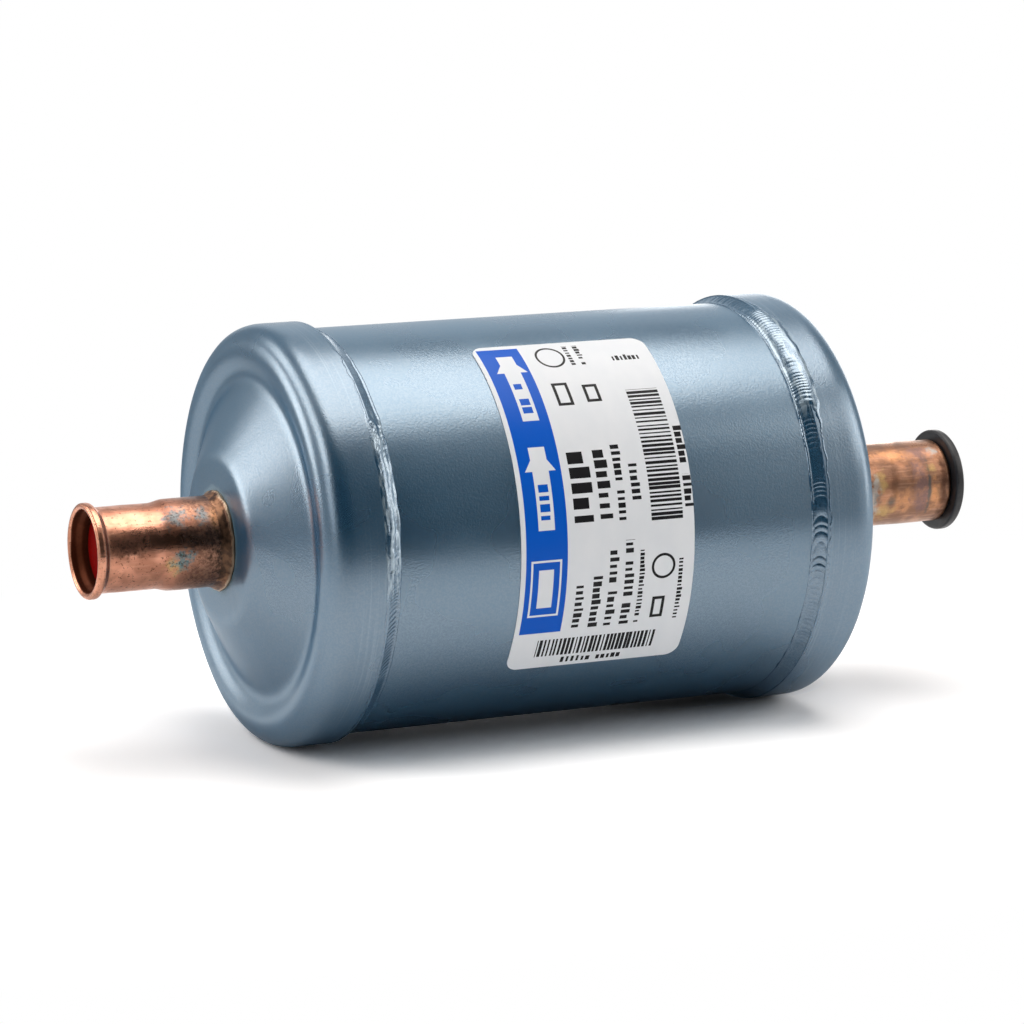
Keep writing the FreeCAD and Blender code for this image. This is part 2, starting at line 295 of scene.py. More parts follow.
def new_material(name):
    """Material with a Principled shader; returns the material, its graph and the shader."""
    material = bpy.data.materials.new(name)
    graph = bare_graph(material)
    shader = graph.add("BsdfPrincipled")
    output = graph.add("OutputMaterial", {"Surface": shader.outputs[0]})
    output.is_active_output = True
    return material, graph, shader


def feed(graph, shader, colour, roughness, height, depth, metallic=0.0):
    """Gives a shader its colour, roughness and metal share, and a bump as deep as depth in metres."""
    bump = graph.add("Bump", {"Height": height, "Strength": 1.0, "Distance": depth})
    graph.put(shader.inputs["Base Color"], colour)
    graph.put(shader.inputs["Roughness"], roughness)
    graph.put(shader.inputs["Metallic"], metallic)
    graph.put(shader.inputs["Normal"], bump.outputs[0])


def millimetres(graph):
    """Object coordinates in millimetres."""
    place = graph.add("TexCoord").outputs["Object"]
    return graph.add("VectorMath", {0: place, "Scale": 1 / MM}, operation="SCALE").outputs[0]


def round_place(graph, place):
    """x along the drier, distance from its axis, and the angle round it in degrees."""
    parts = graph.add("SeparateXYZ", {0: place}).outputs
    across = graph.times(parts[1], -1.0)
    angle = graph.times(graph.maths("ARCTAN2", parts[2], across), 180 / math.pi)
    return parts[0], graph.length(graph.stretch(place, 0.0, 1.0, 1.0)), angle


def grain_group():
    """Fine sprayed grain over slow clouds: two scales of noise, given as a height and two shades."""
    names = ("Place", "Size", "Lumps")
    g, (place, size, lumps), out = new_group("sprayed_grain", names, ("Height", "Fleck", "Cloud"))
    scale = g.over(1.0, size)
    fleck = g.noise(place, scale, 1.0, 0.6)
    coarse = g.noise(place, g.times(scale, 0.3))
    g.put(out["Height"], g.plus(g.times(fleck, 0.7), g.times(coarse, lumps)))
    g.put(out["Fleck"], fleck)
    g.put(out["Cloud"], g.noise(place, 0.045))
    return g.tree


GRAIN = grain_group()
GRAIN_LUMPS = 0.5


# Paint: its two blues and its flakes, then what shows where it is rubbed, stained by flux, and lighter
# along a weld's ridges
PAINT_DEEP, PAINT_PALE = (0.002, 0.042, 0.094, 1), (0.005, 0.056, 0.118, 1)
PAINT_FLAKE = (0.030, 0.145, 0.260, 1)
RUBBED = (0.20, 0.27, 0.34, 1)
FLUX_STAIN = (0.10, 0.17, 0.17, 1)
RIDGE_GREY = (0.33, 0.42, 0.48, 1)
# Size of a flake in mm, how much coarser grain adds to it, the metal share of the strongest, the
# paint's bump in metres and its gloss
FLAKE_SIZE, FLAKE_LUMPS, FLAKE_METAL = 0.38, 0.12, 0.18
PAINT_BUMP = 3.5e-5
PAINT_IOR = 3.4
# Radius in mm where the flux stain ends, and how far it fades inwards from there
FLUX_R, FLUX_FADE = 12.2, 1.3
# Where a weld's ridges turn lighter grey: the sign of x, and the lowest and highest angle in degrees
LIGHT_RIDGE_ZONES = ((-1.0, -8.0, 44.0), (1.0, 33.0, 72.0))


def streaks_round(g, x, angle, per_mm, per_degree):
    """Noise in streaks that run round the drier: x and the angle are stretched by different amounts."""
    way = g.add("CombineXYZ", {0: g.times(x, per_mm), 1: g.times(angle, per_degree)}).outputs[0]
    return g.noise(way, 1.0)


def paint(name, rough, sheen, streaks, light_ridges=()):
    """Satin metallic blue paint: sprayed flakes, slow clouds, faint rubbed streaks round the skirts, and
    a lighter steel grey along a weld's ridges."""
    material, g, shader = new_material(name)
    place = millimetres(g)
    x, radius, angle = round_place(g, place)
    grain = g.use(GRAIN, place, FLAKE_SIZE, FLAKE_LUMPS)
    colour = g.mix(g.ramp(grain["Cloud"], *SOFT), PAINT_DEEP, PAINT_PALE)
    colour = g.mix(g.ramp(grain["Fleck"], 0.3, 0.75, 0.0, 0.35), colour, PAINT_FLAKE)
    roughness = g.vary(grain["Cloud"], rough, 0.03)
    if streaks:
        streak = g.ramp(streaks_round(g, x, angle, 2.2, 0.02), 0.5, 0.75)
        end = g.maths("ABSOLUTE", x)
        near = g.times(g.ramp(end, SKIRT_X, SKIRT_X + 1), g.ramp(end, SKIRT_X + 8, SKIRT_X + 3))
        near = g.times(near, g.ramp(radius, CAP_R - 0.6, CAP_R - 0.2))
        colour = g.mix(g.times(g.times(streak, near), 0.35), colour, RUBBED)
        ragged = g.plus(radius, g.times(g.noise(place, 0.9, 3.0, 0.6), 3.0))
        flux = g.ramp(ragged, FLUX_R, FLUX_R - FLUX_FADE)
        flux = g.times(flux, g.ramp(end, BOSS_X - 0.6, BOSS_X - 0.2))
        colour = g.mix(g.times(flux, 0.35), colour, FLUX_STAIN)
        roughness = g.plus(roughness, g.times(flux, 0.2))
    # Lighter steel grey along a weld's ridges, within the given angles
    for sign, low, high in light_ridges:
        strand = g.ramp(streaks_round(g, x, angle, 1.3, 0.16), 0.42, 0.60)
        zone = g.times(g.ramp(angle, low - 3, low + 5), g.ramp(angle, high + 3, high - 5))
        zone = g.times(zone, g.maths("GREATER_THAN", g.times(x, sign), 0.0))
        colour = g.mix(g.times(g.times(strand, zone), 0.8), colour, RIDGE_GREY)
    flakes = g.ramp(grain["Fleck"], 0.32, 0.68, 0.0, FLAKE_METAL)
    feed(g, shader, colour, roughness, grain["Height"], PAINT_BUMP, flakes)
    shader.inputs["IOR"].default_value = PAINT_IOR
    shader.inputs["Specular Tint"].default_value = sheen
    return material


def patch_group():
    """1 on a ragged oval patch of a tube: distance from its middle, in halves of its length and of its
    turn, with noise added. Soft is the half width of its edge."""
    names = ("X", "Angle", "Ragged", "Soft", "Middle X", "Middle Angle", "Half X", "Half Angle")
    g, into, out = new_group("tube_patch", names)
    x, angle, ragged, soft, middle_x, middle_angle, half_x, half_angle = into
    along = g.over(g.minus(x, middle_x), half_x)
    around = g.over(g.minus(angle, middle_angle), half_angle)
    squares = g.plus(g.times(along, along), g.times(around, around))
    away = g.plus(g.maths("SQRT", squares), g.times(g.minus(ragged, 0.5), 4.5))
    g.put(out["Mask"], g.ramp(g.over(g.minus(away, 0.85), soft), 1.0, -1.0))
    return g.tree


PATCH = patch_group()

# Tints of heated and weathered copper, and a dark brown that is painted shade at a stub's foot; the silver
# also serves as a painted glint
VERDIGRIS = (0.24, 0.28, 0.29, 1)
TEAL = (0.14, 0.26, 0.28, 1)
GOLD = (0.60, 0.40, 0.17, 1)
# Silver tint of heated copper, also used for a painted glint
SILVER_TINT_AND_GLINT = (0.48, 0.45, 0.42, 1)
# Painted shade: dark brown at the inlet stub's foot and on its brazing
STUB_FOOT_SHADE = (0.035, 0.025, 0.018, 1)
SLATE = (0.10, 0.12, 0.12, 1)
SCORCH = (0.10, 0.045, 0.03, 1)
PURPLE = (0.27, 0.165, 0.15, 1)
ORANGE = (0.74, 0.36, 0.17, 1)
DRAWN = (0.80, 0.46, 0.31, 1)
BROWN_DARK, BROWN_LIGHT = (0.13, 0.07, 0.05, 1), (0.36, 0.19, 0.12, 1)
CRUST = (0.06, 0.045, 0.035, 1)
SPECK = (0.09, 0.04, 0.025, 1)
# Painted shade: the bore of a stub is coloured dark brown
BORE_SHADE = (0.085, 0.020, 0.008, 1)
COPPER_ROUGH = 0.33
COPPER_BUMP = 3e-5
# Patches: middle x in mm and angle in degrees, half length, half angle, tint and strength
INLET_PATCHES = (
    (-66.5, 17.0, 3.6, 14.0, SCORCH, 0.45), (-82.5, 12.0, 2.8, 12.0, SCORCH, 0.60),
    (-73.7, -17.0, 1.7, 12.0, GOLD, 0.75), (-72.9, 48.0, 2.1, 14.0, VERDIGRIS, 0.90),
    (-67.7, 45.0, 1.5, 11.0, VERDIGRIS, 0.85), (-72.3, -10.0, 1.8, 13.0, TEAL, 0.95),
    # The dark patch round the inlet stub's foot, on the side that faces -Y, is painted shade
    (-65.2, 40.0, 1.2, 16.0, ORANGE, 0.70), (-63.6, 0.0, 2.4, 42.0, STUB_FOOT_SHADE, 0.85),
    (-74.5, -150.0, 3.0, 20.0, SCORCH, 0.6), (-69.0, 140.0, 2.5, 16.0, VERDIGRIS, 0.6),
)
OUTLET_PATCHES = (
    (79.8, -14.0, 2.3, 18.0, ORANGE, 0.60), (79.4, 54.0, 3.4, 9.0, ORANGE, 0.70),
    (77.4, 14.0, 1.1, 20.0, SCORCH, 0.50), (81.7, 12.0, 0.7, 20.0, SCORCH, 0.40),
    (83.8, 2.0, 1.8, 40.0, PURPLE, 0.95), (86.8, -10.0, 0.9, 20.0, ORANGE, 0.90),
    (86.2, 27.0, 0.9, 7.0, GOLD, 0.80), (85.5, 2.0, 0.30, 36.0, SLATE, 0.80),
    (88.8, 0.0, 0.8, 60.0, SCORCH, 0.70), (84.5, 56.0, 2.4, 13.0, PURPLE, 0.80),
    (74.8, 14.0, 1.2, 12.0, GOLD, 0.95), (75.6, -32.0, 1.6, 13.0, GOLD, 0.80),
    (72.6, -18.0, 1.1, 30.0, SILVER_TINT_AND_GLINT, 0.90), (73.5, 9.0, 0.7, 10.0, SILVER_TINT_AND_GLINT, 0.85),
    (73.8, -10.0, 0.9, 7.0, SLATE, 0.80), (76.8, -17.0, 0.9, 6.0, SLATE, 0.70),
    # The silver patch at 87.8 mm and 56 degrees is a painted glint
    (87.8, 56.0, 0.9, 8.0, SILVER_TINT_AND_GLINT, 0.90), (78.0, 160.0, 4.0, 30.0, PURPLE, 0.80),
    (70.0, -130.0, 3.0, 24.0, GOLD, 0.60),
)


def copper(name, light, dark, patches, bore_r, ragged, soft, specks):
    """Copper that was torch brazed: drawn streaks, blotches of oxide, a brown bloom towards the cap, tinted
    patches with crust and specks, among them painted shade and a painted glint, and a bore darkened as
    painted shade."""
    material, g, shader = new_material(name)
    place = millimetres(g)
    x, radius, angle = round_place(g, place)
    blotch = g.noise(place, 0.22, 2.0, 0.5, 0.4)
    fine = g.noise(place, 1.6, 3.0, 0.6)
    drawn = g.noise(g.stretch(place, 0.25, 2.0, 2.0), 1.0)
    colour = g.mix(g.ramp(blotch, *NARROW), light, dark)
    colour = g.mix(g.ramp(drawn, 0.45, 0.75, 0.0, 0.25), colour, DRAWN)
    wobble = g.times(g.minus(blotch, 0.5), 16.0)
    heat = g.ramp(g.plus(g.maths("ABSOLUTE", x), wobble), HEAT_REACH, HEAT_REACH - 8.0)
    tint = g.mix(g.ramp(fine, *SOFT), BROWN_DARK, BROWN_LIGHT)
    colour = g.mix(g.times(heat, 0.8), colour, tint)
    grainy = g.noise(place, *ragged)
    film = 0.0
    for *middle_and_half, shade, strength in patches:
        mask = g.use(PATCH, x, angle, grainy, soft, *middle_and_half)[0]
        mask = g.times(mask, strength)
        colour = g.mix(mask, colour, shade)
        film = g.larger(mask, film)
    crust = g.times(g.ramp(g.noise(place, 2.2, 3.0, 0.65), 0.50, 0.60), film)
    colour = g.mix(g.times(crust, specks), colour, CRUST)
    speck = g.ramp(g.noise(place, 1.7, 3.0, 0.7), 0.59, 0.65)
    colour = g.mix(g.times(speck, specks), colour, SPECK)
    # Painted shade inside the bore, which turns dark brown; the bore is also rougher
    inside = g.ramp(radius, bore_r, bore_r - 0.10)
    colour = g.mix(g.times(inside, 0.96), colour, BORE_SHADE)
    roughness = g.vary(blotch, COPPER_ROUGH, 0.07)
    roughness = g.plus(g.plus(roughness, g.times(film, 0.12)), g.times(inside, 0.32))
    feed(g, shader, colour, roughness, g.plus(fine, drawn), COPPER_BUMP, 1.0)
    return material


# Brazing metal, and how far its painted shade reaches from the side that faces -Y, in degrees
BRAZE_ORANGE = (0.46, 0.24, 0.14, 1)
BRAZE_GOLD = (0.44, 0.33, 0.235, 1)
FOOT_SHADE_ANGLE = 55.0
BRAZE_BUMP = 1.2e-4


def brazing():
    """Brazing metal: brown and orange near the copper, dull gold towards its foot on the cap, and darkened
    by painted shade on the side that faces -Y."""
    material, g, shader = new_material("braze_metal")
    place = millimetres(g)
    x, radius, angle = round_place(g, place)
    lumps = g.noise(place, 0.8, 3.0, 0.6)
    colour = g.mix(g.ramp(lumps, *NARROW), BROWN_DARK, BRAZE_ORANGE)
    foot = g.plus(radius, g.times(g.minus(lumps, 0.5), 0.9))
    colour = g.mix(g.ramp(foot, BRAZE_R - 0.40, BRAZE_R - 0.12), colour, BRAZE_GOLD)
    # Painted shade: the brazing turns dark brown on the side that faces -Y
    side = g.ramp(g.maths("ABSOLUTE", angle), FOOT_SHADE_ANGLE, FOOT_SHADE_ANGLE - 25.0)
    colour = g.mix(g.times(side, 0.75), colour, STUB_FOOT_SHADE)
    feed(g, shader, colour, g.vary(lumps, 0.40, 0.06), lumps, BRAZE_BUMP, 1.0)
    return material


def grained(name, light, dark, rough, size, depth, metallic=1.0, soft=0.0, gloss=0.5):
    """Plain finish with grain, as bare metal unless told otherwise: two shades mixed by noise, rough
    and bumpy by the same grain. Soft is the sheen of fibres."""
    material, g, shader = new_material(name)
    grain = g.use(GRAIN, millimetres(g), size, GRAIN_LUMPS)
    colour = g.mix(g.ramp(grain["Height"], 0.35, 0.8), dark, light)
    roughness = g.vary(grain["Fleck"], rough, 0.06 if metallic else 0.05)
    feed(g, shader, colour, roughness, grain["Height"], depth, metallic)
    shader.inputs["Sheen Weight"].default_value = soft
    shader.inputs["Specular IOR Level"].default_value = gloss
    return material


# Print on the label: half the width of its blurred edge in mm
PRINT_EDGE = 0.03


def window_group():
    """1 inside a rectangle and 0 outside, from the smallest distance to its four sides."""
    names = ("U", "V", "Left", "Right", "Low", "High")
    g, (u, v, left, right, low, high), out = new_group("print_window", names)
    sides = g.smaller(g.minus(u, left), g.minus(right, u))
    ends = g.smaller(g.minus(v, low), g.minus(high, v))
    g.put(out["Mask"], g.ramp(g.smaller(sides, ends), -PRINT_EDGE, PRINT_EDGE))
    return g.tree


def arrow_group():
    """1 inside an arrow that points along V: a straight shaft below a triangular head."""
    names = ("U", "V", "Middle", "Tip", "Tail", "Head", "Half", "Shaft")
    g, (u, v, middle, tip, tail, head, half, shaft), out = new_group("print_arrow", names)
    off = g.maths("ABSOLUTE", g.minus(u, middle))
    below = g.minus(tip, v)
    slope = g.times(below, g.over(half, head))
    point = g.smaller(g.minus(slope, off), g.minus(head, below))
    ends = g.smaller(g.minus(v, tail), below)
    stem = g.smaller(g.minus(shaft, off), ends)
    g.put(out["Mask"], g.ramp(g.larger(point, stem), -PRINT_EDGE, PRINT_EDGE))
    return g.tree


def cell_draw(g, travel, seed):
    """Three random numbers for the cell that a travel counted in cells has reached, from white noise."""
    turn = g.plus(g.maths("FLOOR", travel), seed)
    draw = g.add("TexWhiteNoise", {"W": turn}, noise_dimensions="1D")
    return g.add("SeparateColor", {0: draw.outputs["Color"]}).outputs


def bars_group():
    """Random bars: each cell holds one bar, its width and place in the cell drawn by white noise."""
    g, (along, cell, seed), out = new_group("print_bars", ("Along", "Cell", "Seed"))
    travel = g.over(along, cell)
    parts = cell_draw(g, travel, seed)
    half = g.ramp(parts[0], 0.0, 1.0, 0.16, 0.40)
    middle = g.ramp(parts[1], 0.0, 1.0, 0.42, 0.58)
    off = g.maths("ABSOLUTE", g.minus(g.maths("FRACT", travel), middle))
    g.put(out["Mask"], g.maths("LESS_THAN", off, half))
    return g.tree


def blocks_group():
    """A line of plain solid blocks: each cell along the line has one upright block, its width and
    height drawn by white noise. Some cells are bare."""
    names = ("Along", "Across", "Foot", "Height", "Start", "End", "Pitch", "Seed", "Filled")
    g, into, out = new_group("print_blocks", names)
    along, across, foot, height, start, end, pitch, seed, filled = into
    travel = g.over(g.minus(along, start), pitch)
    parts = cell_draw(g, travel, seed)
    side = g.maths("ABSOLUTE", g.minus(g.maths("FRACT", travel), 0.5))
    rise = g.over(g.minus(across, foot), height)
    top = g.ramp(parts[0], 0.25, 0.75, 0.76, 1.0)
    upright = g.times(g.maths("GREATER_THAN", rise, 0.0), g.maths("LESS_THAN", rise, top))
    half = g.ramp(parts[1], 0.2, 0.8, 0.22, 0.40)
    body = g.times(g.maths("LESS_THAN", side, half), upright)
    inked = g.times(body, g.maths("LESS_THAN", parts[2], filled))
    inside = g.times(g.maths("GREATER_THAN", along, start), g.maths("LESS_THAN", along, end))
    g.put(out["Mask"], g.times(inked, inside))
    return g.tree


def ring_group():
    """1 on a thin round line about a centre."""
    names = ("U", "V", "Centre U", "Centre V", "Radius", "Half")
    g, (u, v, centre_u, centre_v, radius, half), out = new_group("print_ring", names)
    across = g.minus(u, centre_u)
    up = g.minus(v, centre_v)
    away = g.maths("SQRT", g.plus(g.times(across, across), g.times(up, up)))
    off = g.maths("ABSOLUTE", g.minus(away, radius))
    g.put(out["Mask"], g.ramp(g.minus(half, off), -PRINT_EDGE, PRINT_EDGE))
    return g.tree


# Places on the label in millimetres: u from its left edge, v up from its low edge. A box has its left,
# right, low and high side, and an arrow its middle, tip and tail.
STRIPE = (0.95, 9.35, 8.6, 67.7)
ARROWS = ((5.7, 65.3, 49.5), (5.2, 44.2, 28.7))
ARROW_HEAD, ARROW_HALF, ARROW_SHAFT = 4.6, 3.1, 1.65
# Blocks on an arrow: their foot left of its middle, height, start and end past its tail, pitch
ARROW_BLOCKS = (1.0, 2.0, 1.4, 8.6, 1.8)
# Framed box on the stripe, its line, and the bare strip inside it at the sides and ends
STRIPE_BOX = (2.0, 8.2, 12.2, 23.2)
STRIPE_BOX_LINE, STRIPE_BOX_SIDE, STRIPE_BOX_END = 0.4, 1.6, 1.8
TALL_BARS = (26.6, 33.1, 28.8, 54.7)
WIDE_BARS = (5.2, 29.4, 2.9, 6.9)
BAR_CELL = 0.80
# Lines of blocks that run up the label: left edge, height of a block, start, end, pitch
UP_LINES = (
    (10.9, 4.2, 28.8, 43.0, 2.84), (16.2, 2.6, 29.4, 43.0, 1.94), (20.0, 1.9, 29.1, 43.8, 1.22),
    (23.0, 1.9, 32.7, 40.1, 1.22), (11.4, 1.9, 8.9, 19.3, 1.15), (14.8, 1.9, 8.8, 19.8, 1.2),
    (18.0, 1.9, 8.6, 24.1, 1.3), (21.2, 1.9, 8.7, 25.7, 1.2), (24.2, 1.1, 8.9, 23.6, 0.75),
    (33.7, 1.7, 30.6, 37.0, 1.25), (33.7, 1.7, 39.0, 46.6, 1.25), (32.3, 1.1, 9.0, 21.4, 0.75),
    (18.3, 1.1, 61.6, 67.4, 0.8), (20.4, 1.1, 61.6, 67.4, 0.8),
)
# Blocks lower than this have some gaps between them, with this share filled
SMALL_BLOCK, SMALL_FILLED = 2.2, 0.95
# Plain square frames
FRAMES = ((12.2, 15.4, 52.2, 57.4), (18.2, 21.2, 52.6, 56.6), (27.4, 30.0, 9.8, 14.2))
FRAME_LINE = 0.6
# Lines that run across the label: low edge, height, start, end, pitch
ACROSS_LINES = ((62.2, 1.5, 26.8, 33.6, 0.85), (0.9, 1.4, 10.8, 23.4, 1.05))
# Rings: centre, radius and half the line's width
RINGS = ((14.8, 64.3, 2.7, 0.22), (29.1, 20.2, 2.2, 0.25))
# Seeds: first of the lines up and across the label, of the arrows' blocks, and of the two bar codes
UP_SEED, ACROSS_SEED, ARROW_SEED = 0.0, 300.0, 500.0
TALL_SEED, WIDE_SEED = 41.0, 907.0
FILM_SHADES = (0.818, 0.851, 0.894, 1), (0.848, 0.876, 0.914, 1)
FILM_BUMP = 4e-5
FILM_GLOSS = 0.16
STRIPE_BLUE = (0.000, 0.105, 0.60, 1)
INK = (0.012, 0.012, 0.014, 1)


def label_film():
    """Satin white label film with a blue stripe, white arrows, random bars and lines of small blocks."""
    material, g, shader = new_material("label_film")
    place = g.add("UVMap", uv_map="label_place").outputs[0]
    parts = g.add("SeparateXYZ", {0: place}).outputs
    u = g.times(parts[0], LABEL_WIDE)
    v = g.times(parts[1], LABEL_TALL)
    window, arrow, bars = window_group(), arrow_group(), bars_group()
    blocks, ring = blocks_group(), ring_group()

    def box(left, right, low, high, side=0.0, end=None):
        """A rectangle, drawn in at its sides and, by as much unless told otherwise, at its ends."""
        end = side if end is None else end
        return g.use(window, u, v, left + side, right - side, low + end, high - end)[0]

    def most(masks):
        """The largest of several masks."""
        total = masks[0]
        for mask in masks[1:]:
            total = g.larger(total, mask)
        return total

    def line_of_blocks(along, across, foot, height, start, end, pitch, seed):
        """Blocks from start to end along the line, as high as told across it."""
        filled = SMALL_FILLED if height < SMALL_BLOCK else 1.0
        return g.use(blocks, along, across, foot, height, start, end, pitch, seed, filled)[0]

    ink = []
    for ways, lines, seed in (((v, u), UP_LINES, UP_SEED), ((u, v), ACROSS_LINES, ACROSS_SEED)):
        ink += [line_of_blocks(*ways, *line, seed + 10 * number) for number, line in enumerate(lines)]
    ink += [g.use(ring, u, v, *centre_and_size)[0] for centre_and_size in RINGS]
    ink += [g.minus(box(*frame_box), box(*frame_box, FRAME_LINE)) for frame_box in FRAMES]
    for bar_box, along, seed in ((TALL_BARS, v, TALL_SEED), (WIDE_BARS, u, WIDE_SEED)):
        ink.append(g.times(box(*bar_box), g.use(bars, along, BAR_CELL, seed)[0]))

    left, height, start, end, pitch = ARROW_BLOCKS
    white = []
    for middle, tip, tail in ARROWS:
        shape = g.use(arrow, u, v, middle, tip, tail, ARROW_HEAD, ARROW_HALF, ARROW_SHAFT)[0]
        cut = line_of_blocks(v, u, middle - left, height, tail + start, tail + end, pitch, ARROW_SEED + tip)
        white.append(g.times(shape, g.minus(1.0, cut)))
    white.append(g.minus(box(*STRIPE_BOX), box(*STRIPE_BOX, STRIPE_BOX_LINE)))
    white.append(box(*STRIPE_BOX, STRIPE_BOX_SIDE, STRIPE_BOX_END))

    film = g.mix(g.ramp(g.noise(place, 9.0), *WIDE), *FILM_SHADES)
    stripe = g.times(box(*STRIPE), g.minus(1.0, most(white)))
    colour = g.mix(stripe, film, STRIPE_BLUE)
    colour = g.mix(most(ink), colour, INK)
    wave = g.noise(millimetres(g), 0.5)
    feed(g, shader, colour, g.vary(wave, 0.33, 0.03), wave, FILM_BUMP)
    shader.inputs["Specular IOR Level"].default_value = FILM_GLOSS
    return material


# Materials: for copper the noise of its patches' edges is scale, detail and roughness, then come their
# softness and the strength of specks
SHELL_PAINT = paint("shell_paint", 0.28, (0.71, 0.86, 0.99, 1), False)
CAP_PAINT = paint("cap_paint", 0.29, (0.73, 0.86, 0.98, 1), True)
WELD_PAINT = paint("weld_paint", 0.24, (0.75, 0.88, 1.0, 1), False, LIGHT_RIDGE_ZONES)
INLET_COPPER = copper(
    "inlet_copper", (0.74, 0.34, 0.225, 1), (0.50, 0.22, 0.14, 1), INLET_PATCHES, INLET_R - 0.14,
    (0.8, 4.0, 0.7), 0.65, 0.75,
)
OUTLET_COPPER = copper(
    "outlet_copper", (0.50, 0.245, 0.14, 1), (0.29, 0.155, 0.10, 1), OUTLET_PATCHES, OUTLET_R - 0.5,
    (0.60, 4.0, 0.62), 0.85, 0.12,
)
BRAZE = brazing()
# The plug's red, darkened as painted shade of the bore that it sits in
RED_IN_SHADE, DARK_RED_IN_SHADE = (0.18, 0.001, 0.001, 1), (0.14, 0.001, 0.001, 1)
RED_PLASTIC = grained("red_plastic", RED_IN_SHADE, DARK_RED_IN_SHADE, 0.60, 0.5, 1e-5, 0.0, gloss=0.03)
BLACK, DARK_BLACK = (0.028, 0.028, 0.032, 1), (0.016, 0.016, 0.019, 1)
BLACK_PLASTIC = grained("black_plastic", BLACK, DARK_BLACK, 0.38, 0.4, 1e-5, 0.0)
LABEL_FILM = label_film()
SPRING_STEEL = grained("spring_steel", (0.52, 0.53, 0.55, 1), (0.34, 0.35, 0.37, 1), 0.3, 0.5, 8e-6)
PLAIN_STEEL = grained("plain_steel", (0.58, 0.59, 0.60, 1), (0.42, 0.43, 0.44, 1), 0.34, 0.8, 8e-6)
SCREEN_WIRE = grained("screen_wire", (0.62, 0.62, 0.60, 1), (0.16, 0.16, 0.16, 1), 0.4, 0.3, 1e-4)
FIBRE, DARK_FIBRE = (0.78, 0.74, 0.52, 1), (0.60, 0.55, 0.34, 1)
GLASS_FIBRE = grained("glass_fibre", FIBRE, DARK_FIBRE, 0.8, 0.6, 1.2e-4, 0.0, 0.2)
FELT = grained("felt", (0.62, 0.60, 0.56, 1), (0.44, 0.42, 0.38, 1), 0.85, 0.5, 1.2e-4, 0.0, 0.3)
DESICCANT = grained("desiccant", (0.66, 0.60, 0.50, 1), (0.46, 0.40, 0.31, 1), 0.9, 0.9, 1e-4, 0.0)
# Nodes inside the shell keep their own meshes
INNER = {
    "core_spring": SPRING_STEEL, "inlet_plate": PLAIN_STEEL, "outlet_plate": PLAIN_STEEL,
    "inlet_pad": GLASS_FIBRE, "filter_pad": GLASS_FIBRE, "core_seal": FELT,
    "wire_screen": SCREEN_WIRE, "desiccant_core": DESICCANT,
}
for node, material in INNER.items():
    mesh = NODES[node].data
    mesh.materials.clear()
    mesh.materials.append(material)


# Shell tube
TUBE_DIP = 0.02


def tube_relief(x, r, a):
    """Drawn tube: its radius wanders inwards by a few hundredths."""
    dip = TUBE_DIP * (1 + wander(a + x * 0.01, 5, 2, 7))
    return x, r - np.clip(dip, 0, 3 * TUBE_DIP)


tube_outline = joined(
    run(-TUBE_END, TUBE_R, TUBE_END, TUBE_R, 60),
    run(TUBE_END, TUBE_R - SHELL_WALL, -TUBE_END, TUBE_R - SHELL_WALL, 4),
)
tube = turned("tube", tube_outline, FINE, tube_relief)
fit(tube, "drier", "shell_paint", SHELL_PAINT, "shell_tube")


# End caps: the steps along the outer and the inner face, and the size of two kinds of ripple
FACE_STEP, BACK_STEP = 0.25, 0.5
FACE_DIP, FINE_DIP = 0.018, 0.008


def eased(outline, reach, step):
    """The outline at even steps, each point then the weighted mean of its neighbours within about
    reach, as sheet bends blend into flats. The ends stay."""
    length = np.concatenate(([0], np.cumsum(np.hypot(*np.diff(outline, axis=0).T))))
    even = np.linspace(0, length[-1], round(length[-1] / step))
    points = np.stack([np.interp(even, length, outline[:, k]) for k in (0, 1)], 1)
    half = round(2 * reach / step)
    weights = np.exp(-0.5 * (np.arange(-half, half + 1) * step / reach) ** 2)
    ends = (2 * points[0] - points[half:0:-1], points, 2 * points[-1] - points[-2:-half - 2:-1])
    longer = np.vstack(ends)
    return np.stack([np.convolve(longer[:, k], weights / weights.sum(), "valid") for k in (0, 1)], 1)


def cap_skin(inset, step):
    """Outline of one face of the cap's sheet, from the skirt's end to the stub's hole."""
    return eased(joined(
        run(SKIRT_X, CAP_R - inset, RIM_X - RIM_BEND, CAP_R - inset, 12),
        arc(RIM_X - RIM_BEND, CAP_R - RIM_BEND, RIM_BEND - inset, 90, -RIM_SLOPE, 22),
        arc(VALLEY_X, VALLEY_R, VALLEY_BEND + inset, 180 - RIM_SLOPE, 180 + CONE_SLOPE, 14),
        arc(BOSS_X - BOSS_BEND, BOSS_BEND_R, BOSS_BEND - inset, CONE_SLOPE, 0, 12),
        run(BOSS_X - inset, BOSS_BEND_R - 0.4, BOSS_X - inset, BASE_R + 0.03, 10),
    ), BEND_BLEND, step)


def cap_relief(x, r, a):
    """Pressed sheet: faint ripples that run round the rim, and a waviness of the face."""
    dip = FACE_DIP * (1 + wander(a, 11, 2, 9)) + FINE_DIP * (1 + wander(a + r * 0.02, 12, 14, 30))
    return x - dip, r - np.where(r > BASE_R + 2, dip, 0)


for end_name, at_inlet in ENDS:
    cap_outline = joined(cap_skin(0.0, FACE_STEP), cap_skin(CAP_WALL, BACK_STEP)[::-1])
    cap = turned(end_name + "_cap", cap_outline, FINE, cap_relief, at_inlet)
    fit(cap, "drier", "shell_paint", CAP_PAINT, end_name + "_end_cap")

# Weld beads
BEAD_STEPS, BEAD_ROWS = 2400, 24
